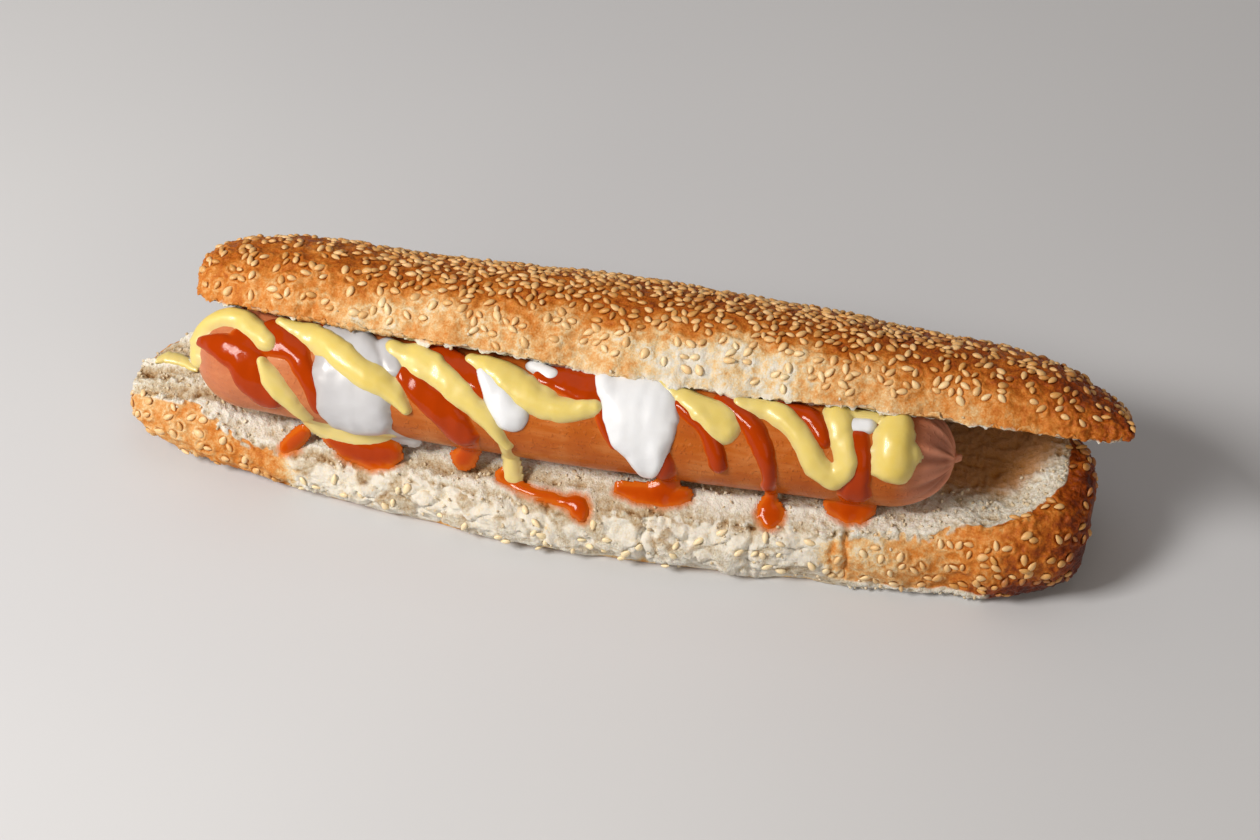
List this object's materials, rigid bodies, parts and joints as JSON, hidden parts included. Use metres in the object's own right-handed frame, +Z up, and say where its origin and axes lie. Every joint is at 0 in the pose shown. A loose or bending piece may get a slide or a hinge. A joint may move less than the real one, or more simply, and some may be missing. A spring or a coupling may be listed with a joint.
{
  "type": "hot dog in a sesame roll",
  "caption": "Frankfurter in a long sesame roll, slit along its side and hinged at the back, with ketchup, mustard and mayonnaise.",
  "frame": {"origin": "on the roll's flat underside, straight below the sausage's axis and about mid-length", "axes": "+X along the roll towards the sausage's tied end, +Y from the slit to the hinge, +Z up"},
  "size_m": [0.266, 0.0729, 0.0586],
  "materials": {
    "baked_crust": null,
    "bread_crumb": "soft white bread crumb with fine pores",
    "sesame_seed": "toasted hulled sesame seed, satin",
    "sausage_skin": "smoked frankfurter skin, moist and glossy",
    "ketchup": "tomato ketchup, wet gloss, slightly translucent",
    "mustard": "mild yellow mustard, smooth satin gloss",
    "mayonnaise": "mayonnaise, smooth cool white, satin gloss"
  },
  "bodies": {
    "root": {"roll": "baked_crust", "sausage": "sausage_skin"}
  },
  "joints": []
}
